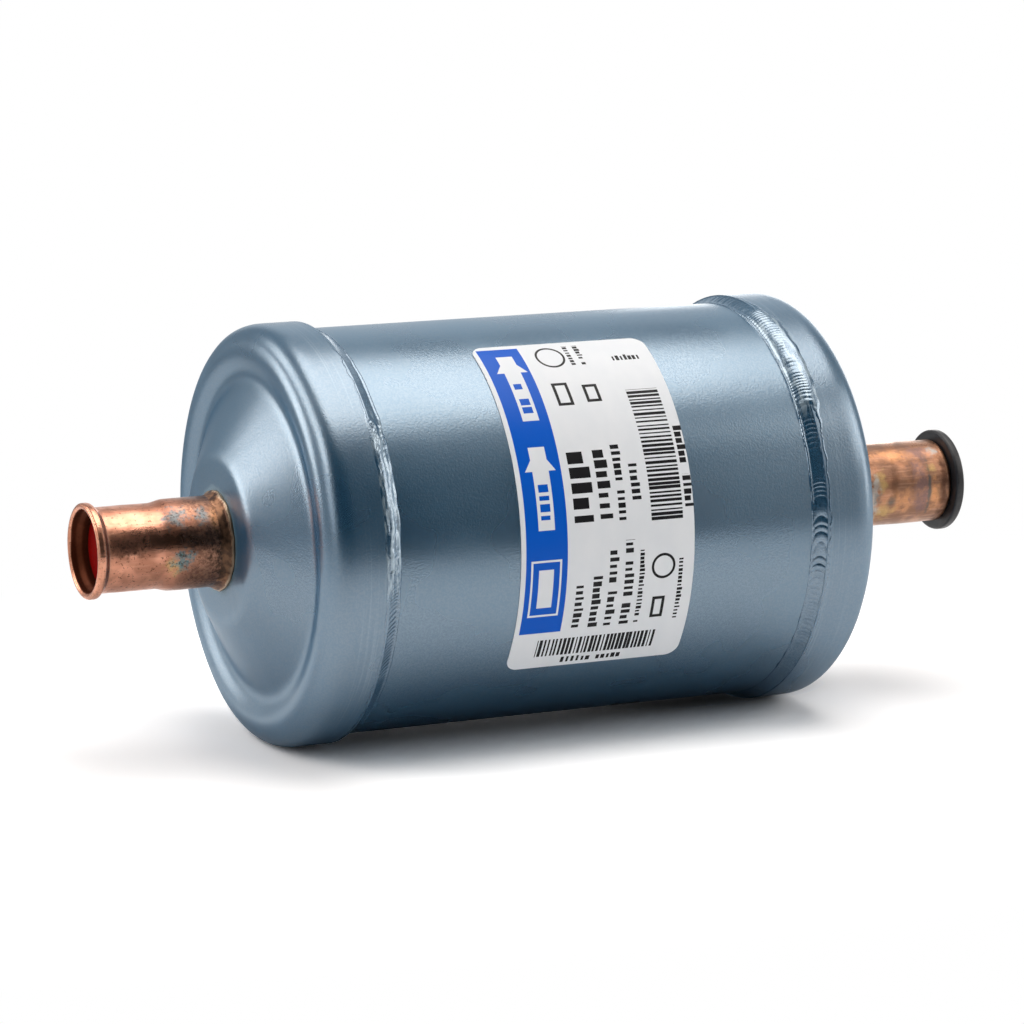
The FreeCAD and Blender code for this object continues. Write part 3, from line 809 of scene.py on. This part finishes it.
# Zones round a bead: low and high angle in degrees, ripple pitch and depth in mm, share of strands,
# height of its bulge in mm, and how far it runs over the skirt in mm. Elsewhere the bead is plain.
PLAIN_BEAD = (1.3, 0.12, 0.0, 0.0)
ZONE_EDGE = 5.0
INLET_ZONES = (
    (42.0, 84.0, 1.5, 0.05, 0.3, 0.0, 0.0), (-6.0, 42.0, 1.1, 0.30, 0.95, 0.55, 0.3),
    (-52.0, -6.0, 0.85, 0.15, 0.0, 0.1, 0.0),
)
OUTLET_ZONES = (
    (34.0, 76.0, 0.80, 0.11, 0.0, 0.55, 1.7), (8.0, 34.0, 1.1, 0.12, 0.1, 0.05, 0.3),
    (-14.0, 8.0, 2.1, 0.22, 0.0, 0.15, 0.3), (-60.0, -14.0, 0.9, 0.10, 0.2, 0.1, 0.0),
)
# Rise over the skirt, depth below the tube's face, ridge at the toe, how far the crest laps the skirt,
# lumps, and how far the crest and the toe wander along the drier, all in mm; strands over its width
OVER_SKIRT = 0.16
BEAD_SINK = 0.15
TOE_RIDGE = 0.16
CREST_LAP = 0.5
LUMP = 0.05
CREST_WANDER, TOE_WANDER = 0.20, 0.12
STRANDS = 2.3
# How far random waves shift the ripples and the strands, in ripples and strands, how sharp their
# grooves are, the share of cross ripples left among strands, and the mean, swing and limits of depth
RIPPLE_DRIFT, STRAND_DRIFT, STRAND_FRAY = 0.7, 0.35, 0.25
RIPPLE_SHARP, STRAND_SHARP = 0.7, 0.8
CROSS_LEFT = 0.15
DEPTH_MEAN, DEPTH_SWING, DEPTH_LIMITS = 0.75, 0.35, (0.3, 1.3)
# Where over the width, from 0 to 1, the toe ends and the crest starts, and the ridge and the sweep lie
TOE_PART, CREST_PART = 0.15, 0.8
RIDGE_AT, RIDGE_WIDE = 0.10, 0.07
SWEEP_FROM, SWEEP_LONG, SWEEP_HOLLOW = 0.12, 0.80, 1.25


def bead_shape(share):
    """Height of the bead from the tube, over its width from toe to skirt: a low ridge at the toe,
    a hollow sweep, and a rounded crest."""
    ridge = TOE_RIDGE * np.exp(-((share - RIDGE_AT) / RIDGE_WIDE) ** 2)
    sweep = np.clip((share - SWEEP_FROM) / SWEEP_LONG, 0, 1) ** SWEEP_HOLLOW
    return ridge + (CAP_R - TUBE_R) * sweep


def between(degrees, low, high, soft):
    """1 between two angles and 0 outside, with straight edges as wide as soft."""
    rise = np.clip((degrees - low) / soft + 0.5, 0, 1)
    return rise * np.clip((high - degrees) / soft + 0.5, 0, 1)


def ripple_count(angle, pitch):
    """Ripples passed since the first angle, for a pitch in millimetres that changes round the bead.
    The sum is scaled to close on a whole number."""
    count = np.cumsum(CAP_R * (2 * np.pi / len(angle)) / pitch)
    return count * round(count[-1]) / count[-1]


def bead_relief(seed, zones, lean, skew):
    """Frozen ripples of the weld pool: r falls by the zone's depth in grooves that follow the sine of
    the ripple count round the drier, or in strands that follow the sine of a braid over the width, and
    rises by the bulge. Cross ripples bow by lean and skew over the bead's width."""

    def relief(x, r, a):
        degrees = np.degrees(a[0])
        degrees = np.where(degrees > 180, degrees - 360, degrees)
        bead = np.repeat(np.array(PLAIN_BEAD)[:, None], len(degrees), 1)
        spread = np.zeros(len(degrees))
        for low, high, *zone_bead, zone_spread in zones:
            change = np.subtract(zone_bead, PLAIN_BEAD)[:, None]
            bead = bead + between(degrees, low, high, ZONE_EDGE) * change
            spread = spread + between(degrees, low, high, 3 * ZONE_EDGE) * zone_spread
        pitch, depth, strand, bulge = bead
        share = np.clip((x - TOE_X) / (SKIRT_X + CREST_LAP - TOE_X), 0, 1)
        hump = np.sin(np.pi * share)
        bow = lean * (2 * share - 1) ** 2 + skew * share
        phase = ripple_count(degrees, pitch) + bow + RIPPLE_DRIFT * wander(a, seed, 5, 40)
        cross = 1 - np.abs(np.sin(np.pi * phase)) ** RIPPLE_SHARP
        braid = STRANDS * share + STRAND_DRIFT * wander(a, seed + 5, 8, 34)
        braid = braid + STRAND_FRAY * wander(a, seed + 6, 60, 120)
        strands = 1 - np.abs(np.sin(np.pi * braid)) ** STRAND_SHARP
        woven = strand * (1 - CROSS_LEFT)
        groove = (1 - woven) * cross + woven * strands
        lumps = LUMP * wander(a, seed + 2, 20, 90)
        uneven = np.clip(DEPTH_MEAN + DEPTH_SWING * wander(a, seed + 1, 6, 30), *DEPTH_LIMITS)
        top = r > TUBE_R
        r = np.where(top, r + bulge * hump + (lumps - depth * uneven * groove) * hump ** 0.5, r)
        x = x + np.where(top, CREST_WANDER * wander(a, seed + 3, 12, 70) * (share > CREST_PART), 0)
        x = x + np.where(top, TOE_WANDER * wander(a, seed + 4, 8, 60) * (share < TOE_PART), 0)
        over = np.clip(spread, 0, 1) * OVER_SKIRT * np.clip(12 * (1 - share), -1, 1)
        r = np.where(top, np.minimum(r, CAP_R) + over, r)
        inside_box = CAP_R / np.maximum(np.abs(np.sin(a)), np.abs(np.cos(a)))
        return x + spread * share ** 2, np.minimum(r, inside_box)

    return relief


def bead_outline():
    """Outline of the bead: over its face from toe to crest, then back inside the joint."""
    share = np.linspace(0, 1, BEAD_ROWS)
    x = TOE_X + share * (SKIRT_X + CREST_LAP - TOE_X)
    face = np.stack((x, TUBE_R + bead_shape(share)), 1)
    face[0, 1] = TUBE_R - BEAD_SINK
    back = run(SKIRT_X + CREST_LAP, CAP_R - 0.5, TOE_X + 0.4, TUBE_R - BEAD_SINK, 3)
    return joined(face, back)


for end_name, at_inlet, relief in (
    ("inlet", True, bead_relief(21, INLET_ZONES, 0.4, 1.8)),
    ("outlet", False, bead_relief(31, OUTLET_ZONES, 1.1, 0.0)),
):
    bead = turned(end_name + "_bead", bead_outline(), BEAD_STEPS, relief, at_inlet)
    fit(bead, "drier", "weld_paint", WELD_PAINT, end_name + "_weld")

# Copper stubs: where the wide base ends, where its step down ends, and the lip
BASE_END = 72.7
STEP_END = 75.8
LIP_START = 86.3
LIP_THICK = 1.24
LIP_ROUND = LIP_THICK / 2
LIP_BEND = 0.25
OUTLET_BASE_END = 65.2
OUTLET_STEP_END = 66.6
END_ROUND = 0.6
# Gap between the points of one stretch and the next
NEXT = 0.5


def stub_relief(seed, depth):
    """Hand-swaged copper: shallow dents and a slight ovality."""

    def relief(x, r, a):
        dent = wander(a + 0.11 * x, seed, 2, 6) + 0.4 * wander(a - 0.3 * x, seed + 1, 3, 11)
        return x, r + depth * dent

    return relief


inlet_outline = joined(
    run(STUB_IN_X, BASE_R, BASE_END, BASE_R, 14),
    swage(BASE_END, BASE_R, STEP_END, INLET_R, 12),
    run(STEP_END + NEXT, INLET_R, LIP_START, INLET_R, 16),
    swage(LIP_START, INLET_R, MOUTH_X - 1.35, LIP_R - 0.03, 8),
    arc(MOUTH_X - 1.05, LIP_R - LIP_BEND, LIP_BEND, 110, 60, 4),
    arc(MOUTH_X - LIP_ROUND, LIP_R - LIP_ROUND, LIP_ROUND, 85, -90, 12),
    swage(MOUTH_X - LIP_THICK, LIP_R - LIP_THICK, LIP_START, INLET_BORE_R, 8),
    run(LIP_START - NEXT, INLET_BORE_R, STEP_END, INLET_BORE_R, 6),
    swage(STEP_END - NEXT, INLET_BORE_R, BASE_END, BASE_BORE_R, 6),
    run(BASE_END - NEXT, BASE_BORE_R, STUB_IN_X, BASE_BORE_R, 4),
)
outlet_outline = joined(
    run(STUB_IN_X, BASE_R, OUTLET_BASE_END, BASE_R, 6),
    swage(OUTLET_BASE_END, BASE_R, OUTLET_STEP_END, OUTLET_R, 8),
    run(OUTLET_STEP_END + NEXT, OUTLET_R, OUTLET_END - 0.9, OUTLET_R, 24),
    arc(OUTLET_END - END_ROUND, OUTLET_R - END_ROUND, END_ROUND, 90, 0, 6),
    run(OUTLET_END, OUTLET_BORE_R + 0.1, OUTLET_END - 0.3, OUTLET_BORE_R, 2),
    run(OUTLET_END - 2 * NEXT, OUTLET_BORE_R, OUTLET_STEP_END, OUTLET_BORE_R, 6),
    run(OUTLET_BASE_END, BASE_BORE_R, STUB_IN_X, BASE_BORE_R, 3),
)
inlet_stub = turned("inlet_tube_stub", inlet_outline, MEDIUM, stub_relief(41, 0.03), True)
fit(inlet_stub, "drier", "copper", INLET_COPPER, "inlet_stub")
outlet_stub = turned("outlet_tube_stub", outlet_outline, MEDIUM, stub_relief(43, 0.04))
fit(outlet_stub, "drier", "copper", OUTLET_COPPER, "outlet_stub")

# Braze fillets: how far the foot and the tip wander, the foot's round, and how deep it sits in the
# boss and in the stub
FOOT_WANDER, TIP_WANDER = 0.10, 0.16
BRAZE_FOOT = 0.25
# Where the fillet's hollow face starts and ends: past the boss or before the tip, and above the stub
FACE_START, FACE_END = (0.7, 0.55), (0.5, 0.12)
IN_BOSS, IN_STUB = 0.05, 0.3


def braze_relief(x, r, a):
    """Run brazing metal: its foot wanders in r and the rest in x, by random waves round the stub."""
    out = (r - BASE_R) / (BRAZE_R - BASE_R)
    r = r + np.where(out > 0.1, FOOT_WANDER * wander(a, 51, 3, 22) * out, 0)
    x = x + np.where(x > BOSS_X + 0.1, TIP_WANDER * wander(a, 52, 2, 16), 0)
    return x, r


braze_outline = joined(
    run(BOSS_X - IN_BOSS, BASE_R - IN_STUB, BOSS_X - IN_BOSS, BRAZE_R - 0.1, 3),
    arc(BOSS_X + BRAZE_FOOT, BRAZE_R - BRAZE_FOOT, BRAZE_FOOT, 120, 20, 6),
    run(BOSS_X + FACE_START[0], BASE_R + FACE_START[1], BRAZE_TIP - FACE_END[0], BASE_R + FACE_END[1], 6),
    run(BRAZE_TIP, BASE_R + 0.02, BRAZE_TIP, BASE_R - IN_STUB, 2),
)
for end_name, at_inlet in ENDS:
    fillet = turned(end_name + "_braze", braze_outline, MEDIUM, braze_relief, at_inlet)
    fit(fillet, "drier", "braze", BRAZE, end_name + "_braze_ring")

# Transport plugs: the cup's wall, how far it lies inside its ribs, the ribs, and the flange with its dish
PLUG_WALL = 1.3
PLUG_RELIEF = 0.35
PLUG_RIB, RIB_SLOPE = 1.2, 0.3
RED_ROUND = 0.3
SEAL_ROOM = 0.03
FLANGE_THICK, FLANGE_ROUND = 1.8, 0.5
DISH_R, DISH_DEEP = 5.2, 0.5


def plug_cup(face, back, seal_r):
    """Outline of the cup part of a plug, from its bottom edge inside to the last rib at its face."""
    body_r = seal_r - PLUG_RELIEF
    ribs = np.linspace(back, face - 2 * PLUG_RIB, 3)
    outline = [run(face - PLUG_WALL, 0, face - PLUG_WALL, body_r - PLUG_WALL, 2)]
    outline.append(run(face - PLUG_WALL, body_r - PLUG_WALL, back, body_r - PLUG_WALL, 2))
    for rib in ribs:
        outline.append(run(rib, body_r, rib + RIB_SLOPE, seal_r, 2))
        outline.append(run(rib + PLUG_RIB - RIB_SLOPE, seal_r, rib + PLUG_RIB, body_r, 2))
    return joined(*outline), body_r


red_cup, red_body = plug_cup(RED_FACE, RED_BACK, RED_R)
red_outline = joined(
    red_cup,
    arc(RED_FACE - RED_ROUND, red_body - RED_ROUND, RED_ROUND, 90, 0, 4),
    run(RED_FACE, red_body - 1, RED_FACE, 0, 6),
)
red = turned("red_cap_plug", red_outline, MEDIUM, None, True, False)
fit(red, "red_plug", "red_plastic", RED_PLASTIC, "inlet_plug")

FLANGE_BACK = BLACK_FACE - FLANGE_THICK
DISH_X = BLACK_FACE - DISH_DEEP
black_cup, black_body = plug_cup(FLANGE_BACK, BLACK_BACK, OUTLET_BORE_R - SEAL_ROOM)
black_outline = joined(
    black_cup,
    run(FLANGE_BACK, black_body, FLANGE_BACK, FLANGE_R - FLANGE_ROUND, 6),
    arc(FLANGE_BACK + FLANGE_ROUND, FLANGE_R - FLANGE_ROUND, FLANGE_ROUND, 180, 90, 8),
    arc(BLACK_FACE - FLANGE_ROUND, FLANGE_R - FLANGE_ROUND, FLANGE_ROUND, 90, 0, 8),
    run(BLACK_FACE, DISH_R, DISH_X, DISH_R - 0.3, 2),
    run(DISH_X, DISH_R - 0.7, DISH_X, 0, 4),
)
black = turned("black_cap_plug", black_outline, MEDIUM, None, False, False)
fit(black, "black_plug", "black_plastic", BLACK_PLASTIC, "outlet_plug")

# Label
CORNER_ROWS, LABEL_ROWS, LABEL_COLUMNS = 12, 140, 24


def label_sheet():
    """Thin sheet wrapped on the tube: at height v its sides draw in by the corner's circle, and
    each row's outline goes along the top face and back along the glued one."""
    corner = LABEL_CORNER * (1 - np.cos(np.linspace(0, np.pi / 2, CORNER_ROWS)))
    middle = np.linspace(LABEL_CORNER, LABEL_TALL - LABEL_CORNER, LABEL_ROWS)[1:-1]
    v = np.concatenate((corner, middle, LABEL_TALL - corner[::-1]))
    near = np.clip(LABEL_CORNER - np.minimum(v, LABEL_TALL - v), 0, None)
    inset = LABEL_CORNER - np.sqrt(LABEL_CORNER ** 2 - near ** 2)
    share = np.linspace(0, 1, LABEL_COLUMNS)
    across = np.concatenate((share, share[::-1]))
    u = inset[:, None] + across * (LABEL_WIDE - 2 * inset[:, None])
    r = LABEL_R - np.repeat((0.0, LABEL_THICK), LABEL_COLUMNS) * np.ones_like(u)
    r[0] = r[-1] = LABEL_R - LABEL_THICK / 2
    a = math.radians(LABEL_LOW) + v[:, None] / LABEL_R
    return np.stack((LABEL_LEFT + u, -r * np.cos(a), r * np.sin(a)), -1)


label = surface("label_sheet", label_sheet()[::-1], False)
mesh = label.data
coordinates = np.zeros(len(mesh.vertices) * 3)
mesh.vertices.foreach_get("co", coordinates)
coordinates = coordinates.reshape(-1, 3) / MM
place_u = (coordinates[:, 0] - LABEL_LEFT) / LABEL_WIDE
turn = np.arctan2(coordinates[:, 2], -coordinates[:, 1]) - math.radians(LABEL_LOW)
place_v = turn * LABEL_R / LABEL_TALL
corners = np.zeros(len(mesh.loops), np.int32)
mesh.loops.foreach_get("vertex_index", corners)
uv = mesh.uv_layers.new(name="label_place")
uv.data.foreach_set("uv", np.stack((place_u[corners], place_v[corners]), 1).ravel())
fit(label, "drier", "label_film", LABEL_FILM, "label")


def aim(azimuth, elevation):
    """Unit vector towards an azimuth measured from -Y to +X, and an elevation, in degrees."""
    turn, lift = math.radians(azimuth), math.radians(elevation)
    return np.array((math.sin(turn) * math.cos(lift), -math.cos(turn) * math.cos(lift), math.sin(lift)))


# Camera, as a photograph taken from the inlet side and a little above: angles in degrees, the lens and
# its sensor, and its distance and shifts in mm
AZIMUTH, ELEVATION = -25.185, 10.371
FOCUS, SENSOR = 146.28, 36.0
AWAY, RIGHT_SHIFT, UP_SHIFT = 796.25, -2.030, 0.450
back = aim(AZIMUTH, ELEVATION)
right = aim(AZIMUTH + 90, 0)
up = np.cross(back, right)
lens = bpy.data.cameras.new("camera")
lens.lens = FOCUS
lens.sensor_width = SENSOR
camera = placed("camera", lens)
camera.location = (right * RIGHT_SHIFT + up * UP_SHIFT + back * AWAY) * MM
camera.rotation_euler = (math.radians(90 - ELEVATION), 0, math.radians(AZIMUTH))
bpy.context.scene.camera = camera
bpy.context.scene.view_settings.view_transform = "Standard"

# Floor: a small white sheet in metres, with painted shade close under the drier, and painted light and a
# painted shadow core where the camera sees it. What the camera and metal see of it fades to plain white
# away from the drier, whose shadow stays.
FLOOR_Z = -CAP_R * MM
FLOOR_LEFT, FLOOR_RIGHT = -0.30, 6.0
FLOOR_FRONT, FLOOR_BACK = -0.26, 0.19
# Half sizes of the oval round the drier, and where in it the white and the painted shade under the drier
# start and end
FLOOR_ROUND = (0.150, 0.085)
FLOOR_FADE = (0.85, 1.85)
UNDER_REACH = (0.16, 0.62)
FLOOR_SHADE = (0.93, 0.94, 0.95, 1)
UNDER_PAINTED_SHADE = (0.31, 0.31, 0.32, 1)
# The paper as the camera sees it: its colour, a painted light above white, by the distance in x from the
# drier's middle
MIDDLE_REACH = (0.035, 0.060)
MIDDLE_PAINTED_LIGHT = (1.55, 1.56, 1.58, 1)
SIDE_PAINTED_LIGHT = (1.15, 1.16, 1.18, 1)
# Painted shadow that deepens the shadow's darkest core: an oval's middle, half sizes and edge
CORE_AT = (0.038, 0.004, 0.0)
CORE_ROUND = (0.030, 0.014)
CORE_REACH = (0.45, 1.25)
CORE_PAINTED_SHADOW = (0.45, 0.46, 0.48, 1)
floor_mesh = bpy.data.meshes.new("floor")
floor_mesh.from_pydata([
    (FLOOR_LEFT, FLOOR_FRONT, FLOOR_Z),
    (FLOOR_RIGHT, FLOOR_FRONT, FLOOR_Z),
    (FLOOR_RIGHT, FLOOR_BACK, FLOOR_Z),
    (FLOOR_LEFT, FLOOR_BACK, FLOOR_Z),
], [], [(0, 1, 2, 3)])
floor = placed("floor", floor_mesh)


def ray_kinds(g):
    """1 for rays from the camera, and 1 for rays that metal or glass sends on."""
    paths = g.add("LightPath").outputs
    return paths["Is Camera Ray"], g.larger(paths["Is Glossy Ray"], paths["Is Transmission Ray"])


def oval(g, spot, halves):
    """Distance from the middle of an oval, in halves of its sizes."""
    return g.length(g.stretch(spot, 1 / halves[0], 1 / halves[1], 0.0))


floor_paper = bpy.data.materials.new("floor_paper")
g = bare_graph(floor_paper)
shown, mirrored = ray_kinds(g)
spot = g.add("TexCoord").outputs["Object"]
away = oval(g, spot, FLOOR_ROUND)
# Painted shade: the paper as light and metal see it darkens close under the drier
shade = g.mix(g.ramp(away, *UNDER_REACH), UNDER_PAINTED_SHADE, FLOOR_SHADE)
side = g.maths("ABSOLUTE", g.add("SeparateXYZ", {0: spot}).outputs[0])
# Painted light: the camera sees the paper brighter than white, most near the drier's middle
plain = g.mix(g.ramp(side, *MIDDLE_REACH), MIDDLE_PAINTED_LIGHT, SIDE_PAINTED_LIGHT)
from_core = g.add("VectorMath", {0: spot, 1: CORE_AT}, operation="SUBTRACT").outputs[0]
# Painted shadow: the camera sees the shadow's core darker still
plain = g.mix(g.ramp(oval(g, from_core, CORE_ROUND), *CORE_REACH), CORE_PAINTED_SHADOW, plain)
paper = g.add("BsdfDiffuse", {"Color": g.mix(shown, shade, plain)})
page = g.add("Emission", {"Color": (1, 1, 1, 1), "Strength": 1.0})
fade = g.times(g.larger(shown, mirrored), g.ramp(away, *FLOOR_FADE))
sweep = g.add("MixShader", {0: fade, 1: paper.outputs[0], 2: page.outputs[0]})
g.add("OutputMaterial", {"Surface": sweep.outputs[0]})
floor_mesh.materials.append(floor_paper)

# Studio light: a round box overhead, soft boxes and cards beside the drier, and a room that is dark
# on the camera's side, with a white backdrop that metal sees too. Each lamp has its place and the
# point that it faces, its width and height, all in metres, and its brightness.
LAMP_TINT = (1.0, 0.95, 0.90)
LAMPS = (
    ("overhead_round_box", "ELLIPSE", (0.27, 0.05, 1.05), (0.27, 0.05, 0.0), 0.86, 1.14, 3.3),
    ("left_soft_box", "RECTANGLE", 1.1 * aim(-105, 46), (0, 0, 0), 1.60, 0.40, 3.0),
    ("low_left_card", "RECTANGLE", 1.1 * aim(-127, 12), (0, 0, 0), 0.58, 0.42, 3.9),
    ("right_strip", "RECTANGLE", 1.1 * aim(76, 16), (0, 0, 0), 0.40, 0.75, 2.3),
    ("near_right_card", "RECTANGLE", (0.34, -0.24, 0.26), (0.05, 0, 0), 0.22, 0.23, 1.8),
    ("low_right_card", "RECTANGLE", (0.24, -0.28, 0.08), (0.04, -0.03, 0), 0.20, 0.18, 0.42),
    ("back_card", "RECTANGLE", 1.1 * aim(142, 2), (0, 0, 0), 0.40, 0.40, 2.3),
)
for name, outline, place, facing, wide, high, bright in LAMPS:
    lamp = bpy.data.lights.new(name, "AREA")
    lamp.shape = outline
    lamp.size, lamp.size_y = wide, high
    filled = math.pi / 4 if outline == "ELLIPSE" else 1.0
    lamp.energy = bright * math.pi * wide * high * filled
    lamp.color = LAMP_TINT
    soft_box = placed(name, lamp)
    soft_box.location = place
    way = np.array(facing) - np.array(place)
    level_way = math.hypot(way[0], way[1])
    turn = math.atan2(-way[0], way[1]) if level_way > 0 else 0.0
    soft_box.rotation_euler = (math.pi / 2 + math.atan2(way[2], level_way), 0, turn)

# Room: its level, and round patches of it with azimuth, elevation, cosine at the edge and at the core,
# and what each adds
ROOM_LEVEL = 0.37
ROOM_TINT = (0.97, 0.985, 1.0, 1)
LEFT_WALL = (-62.0, 22.0, 0.925, 0.985, 1.1)
BACKDROP = (146.0, 12.0, 0.84, 0.97, 1.0)
CAMERA_SIDE = (-5.0, 23.0, 0.58, 0.82, -0.98)
world = bpy.data.worlds.new("studio")
g = bare_graph(world)
direction = g.add("TexCoord").outputs["Generated"]


def wall_patch(azimuth, elevation, edge, core, level):
    """Round patch of the room: 0 outside, rising to its level at a core, by the cosine to its middle."""
    near = g.add("VectorMath", {0: direction, 1: tuple(aim(azimuth, elevation))}, operation="DOT_PRODUCT")
    return g.ramp(near.outputs["Value"], edge, core, 0.0, level)


room = g.plus(wall_patch(*LEFT_WALL), ROOM_LEVEL)
room = g.times(room, g.plus(wall_patch(*CAMERA_SIDE), 1.0))
shown, mirrored = ray_kinds(g)
seen = g.larger(shown, g.times(mirrored, wall_patch(*BACKDROP)))
studio = g.add("Background", {"Color": ROOM_TINT, "Strength": room})
page = g.add("Background", {"Color": (1, 1, 1, 1), "Strength": 1.0})
both = g.add("MixShader", {0: seen, 1: studio.outputs[0], 2: page.outputs[0]})
g.add("OutputWorld", {"Surface": both.outputs[0]})
bpy.context.scene.world = world
